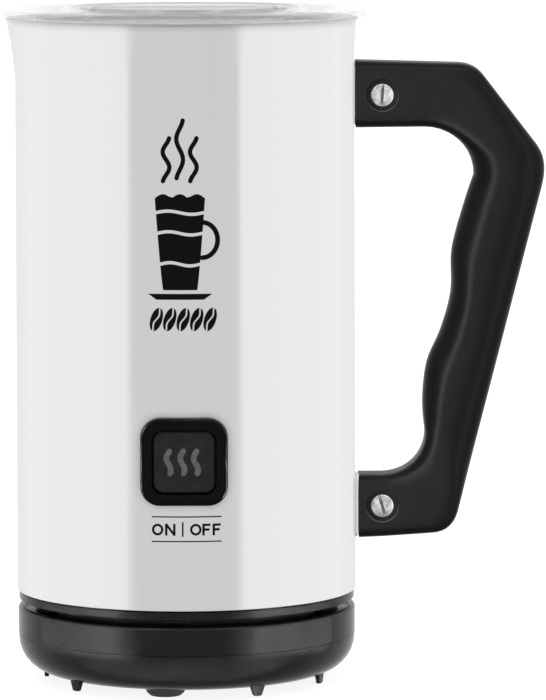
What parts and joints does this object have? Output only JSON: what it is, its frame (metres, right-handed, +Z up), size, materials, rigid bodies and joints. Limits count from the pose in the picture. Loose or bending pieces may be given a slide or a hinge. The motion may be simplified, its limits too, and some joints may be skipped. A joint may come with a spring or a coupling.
{
  "type": "milk frother",
  "caption": "Steel milk-frothing jug with spout, clear lid, black side handle and square switch, standing on a separate round power base.",
  "frame": {"origin": "middle of the object's bounding box, on the surface that the feet stand on", "axes": "+Z up along the jug's axis, +X towards the handle and away from the spout, -Y the front with the switch"},
  "size_m": [0.1514, 0.1024, 0.1888],
  "materials": {
    "shell_steel": "stainless steel, bright satin, very fine vertical brushing",
    "pot_steel": "stainless steel, finely turned",
    "bracket_steel": "pressed steel, satin",
    "element_steel": "sheathed heating element, heat-tinted",
    "coil_steel": "polished stainless spring wire",
    "chromed_steel": "chromed, polished",
    "screw_steel": "zinc-plated steel",
    "base_plastic": "black moulded plastic, satin",
    "handle_plastic": "black moulded plastic, satin, faint grain",
    "gloss_black": "glossy black plastic",
    "foot_rubber": "moulded rubber, matt",
    "button_rubber": "soft-touch rubber, matt",
    "icon_grey": "translucent grey light guide",
    "clear_plastic": "clear moulded plastic, polished",
    "silicone": "translucent silicone",
    "whisk_plastic": "black food-grade plastic",
    "nylon": "natural nylon",
    "led_lens": "clear LED lens",
    "component_black": "component housing",
    "circuit_board": "green solder mask",
    "contact_brass": "stamped brass",
    "magnet_metal": "nickel-plated magnet",
    "aluminium": "cast and turned aluminium"
  },
  "bodies": {
    "power_base": {"base_bottom_shell": "base_plastic", "base_top_shell": "base_plastic", "foot_front": "foot_rubber", "foot_right": "foot_rubber", "foot_left": "foot_rubber", "base_screw_front": "screw_steel", "base_screw_rear": "screw_steel", "base_screw_left": "screw_steel", "cord_gland": "foot_rubber", "base_terminal_block": "nylon", "base_connector": "nylon", "base_contact_live": "contact_brass", "base_contact_neutral": "contact_brass"},
    "jug_plug": {"plug_housing": "base_plastic", "plug_contact_live": "contact_brass", "plug_contact_neutral": "contact_brass", "plug_earth_pin": "contact_brass"},
    "jug": {"steel_shell": "shell_steel", "inner_pot": "pot_steel", "bottom_ring": "base_plastic", "bottom_cover": "base_plastic", "cover_screw_right": "screw_steel", "cover_screw_rear": "screw_steel", "cover_screw_left": "screw_steel", "heater_plate": "aluminium", "heater_element": "element_steel", "temperature_sensor": "contact_brass", "thermal_cutout": "nylon", "motor_body": "aluminium", "motor_bracket": "bracket_steel", "control_board": "circuit_board", "board_relay": "component_black", "board_capacitor": "component_black", "board_transformer": "nylon", "switch_bezel": "gloss_black", "switch_board": "circuit_board", "tact_switch": "component_black", "led_left": "led_lens", "led_right": "led_lens", "handle": "handle_plastic", "handle_bracket_upper": "bracket_steel", "handle_screw_upper": "chromed_steel", "handle_nut_upper": "chromed_steel", "handle_bracket_lower": "bracket_steel", "handle_screw_lower": "chromed_steel", "handle_nut_lower": "chromed_steel"},
    "rotor": {"motor_shaft": "chromed_steel", "magnet_carrier": "nylon", "drive_magnet_a": "magnet_metal", "drive_magnet_b": "magnet_metal"},
    "whisk_bush": {"whisk_bush": "nylon"},
    "whisk": {"whisk_hub": "whisk_plastic", "whisk_magnet_a": "magnet_metal", "whisk_magnet_b": "magnet_metal", "whisk_coil": "coil_steel"},
    "button": {"switch_button": "button_rubber", "icon_window": "icon_grey"},
    "lid": {"lid": "clear_plastic", "lid_gasket": "silicone"}
  },
  "joints": [
    {"name": "jug_lift", "type": "slide", "parent": "power_base", "child": "jug_plug", "axis": [0, 0, 1], "range_m": [0, 0.1]},
    {"name": "jug_swivel", "type": "hinge", "parent": "jug_plug", "child": "jug", "pos_m": [-0.02451, 0, 0.025], "axis": [0, 0, 1], "continuous": true},
    {"name": "lid_lift", "type": "slide", "parent": "jug", "child": "lid", "axis": [0, 0, 1], "range_m": [0, 0.05]},
    {"name": "button_press", "type": "slide", "parent": "jug", "child": "button", "axis": [0, 1, 0], "range_m": [0, 0.0012], "stiffness_N_per_m": 1500, "springref_m": -0.0008},
    {"name": "motor_spin", "type": "hinge", "parent": "jug", "child": "rotor", "pos_m": [-0.02451, 0, 0.09], "axis": [0, 0, 1], "continuous": true},
    {"name": "whisk_lift", "type": "slide", "parent": "jug", "child": "whisk_bush", "axis": [0, 0, 1], "range_m": [0, 0.06]},
    {"name": "whisk_spin", "type": "hinge", "parent": "whisk_bush", "child": "whisk", "pos_m": [-0.02451, 0, 0.095], "axis": [0, 0, 1], "continuous": true}
  ],
  "couplings": [
    {"joint": "motor_spin", "follows": "whisk_spin", "ratio": 1}
  ]
}
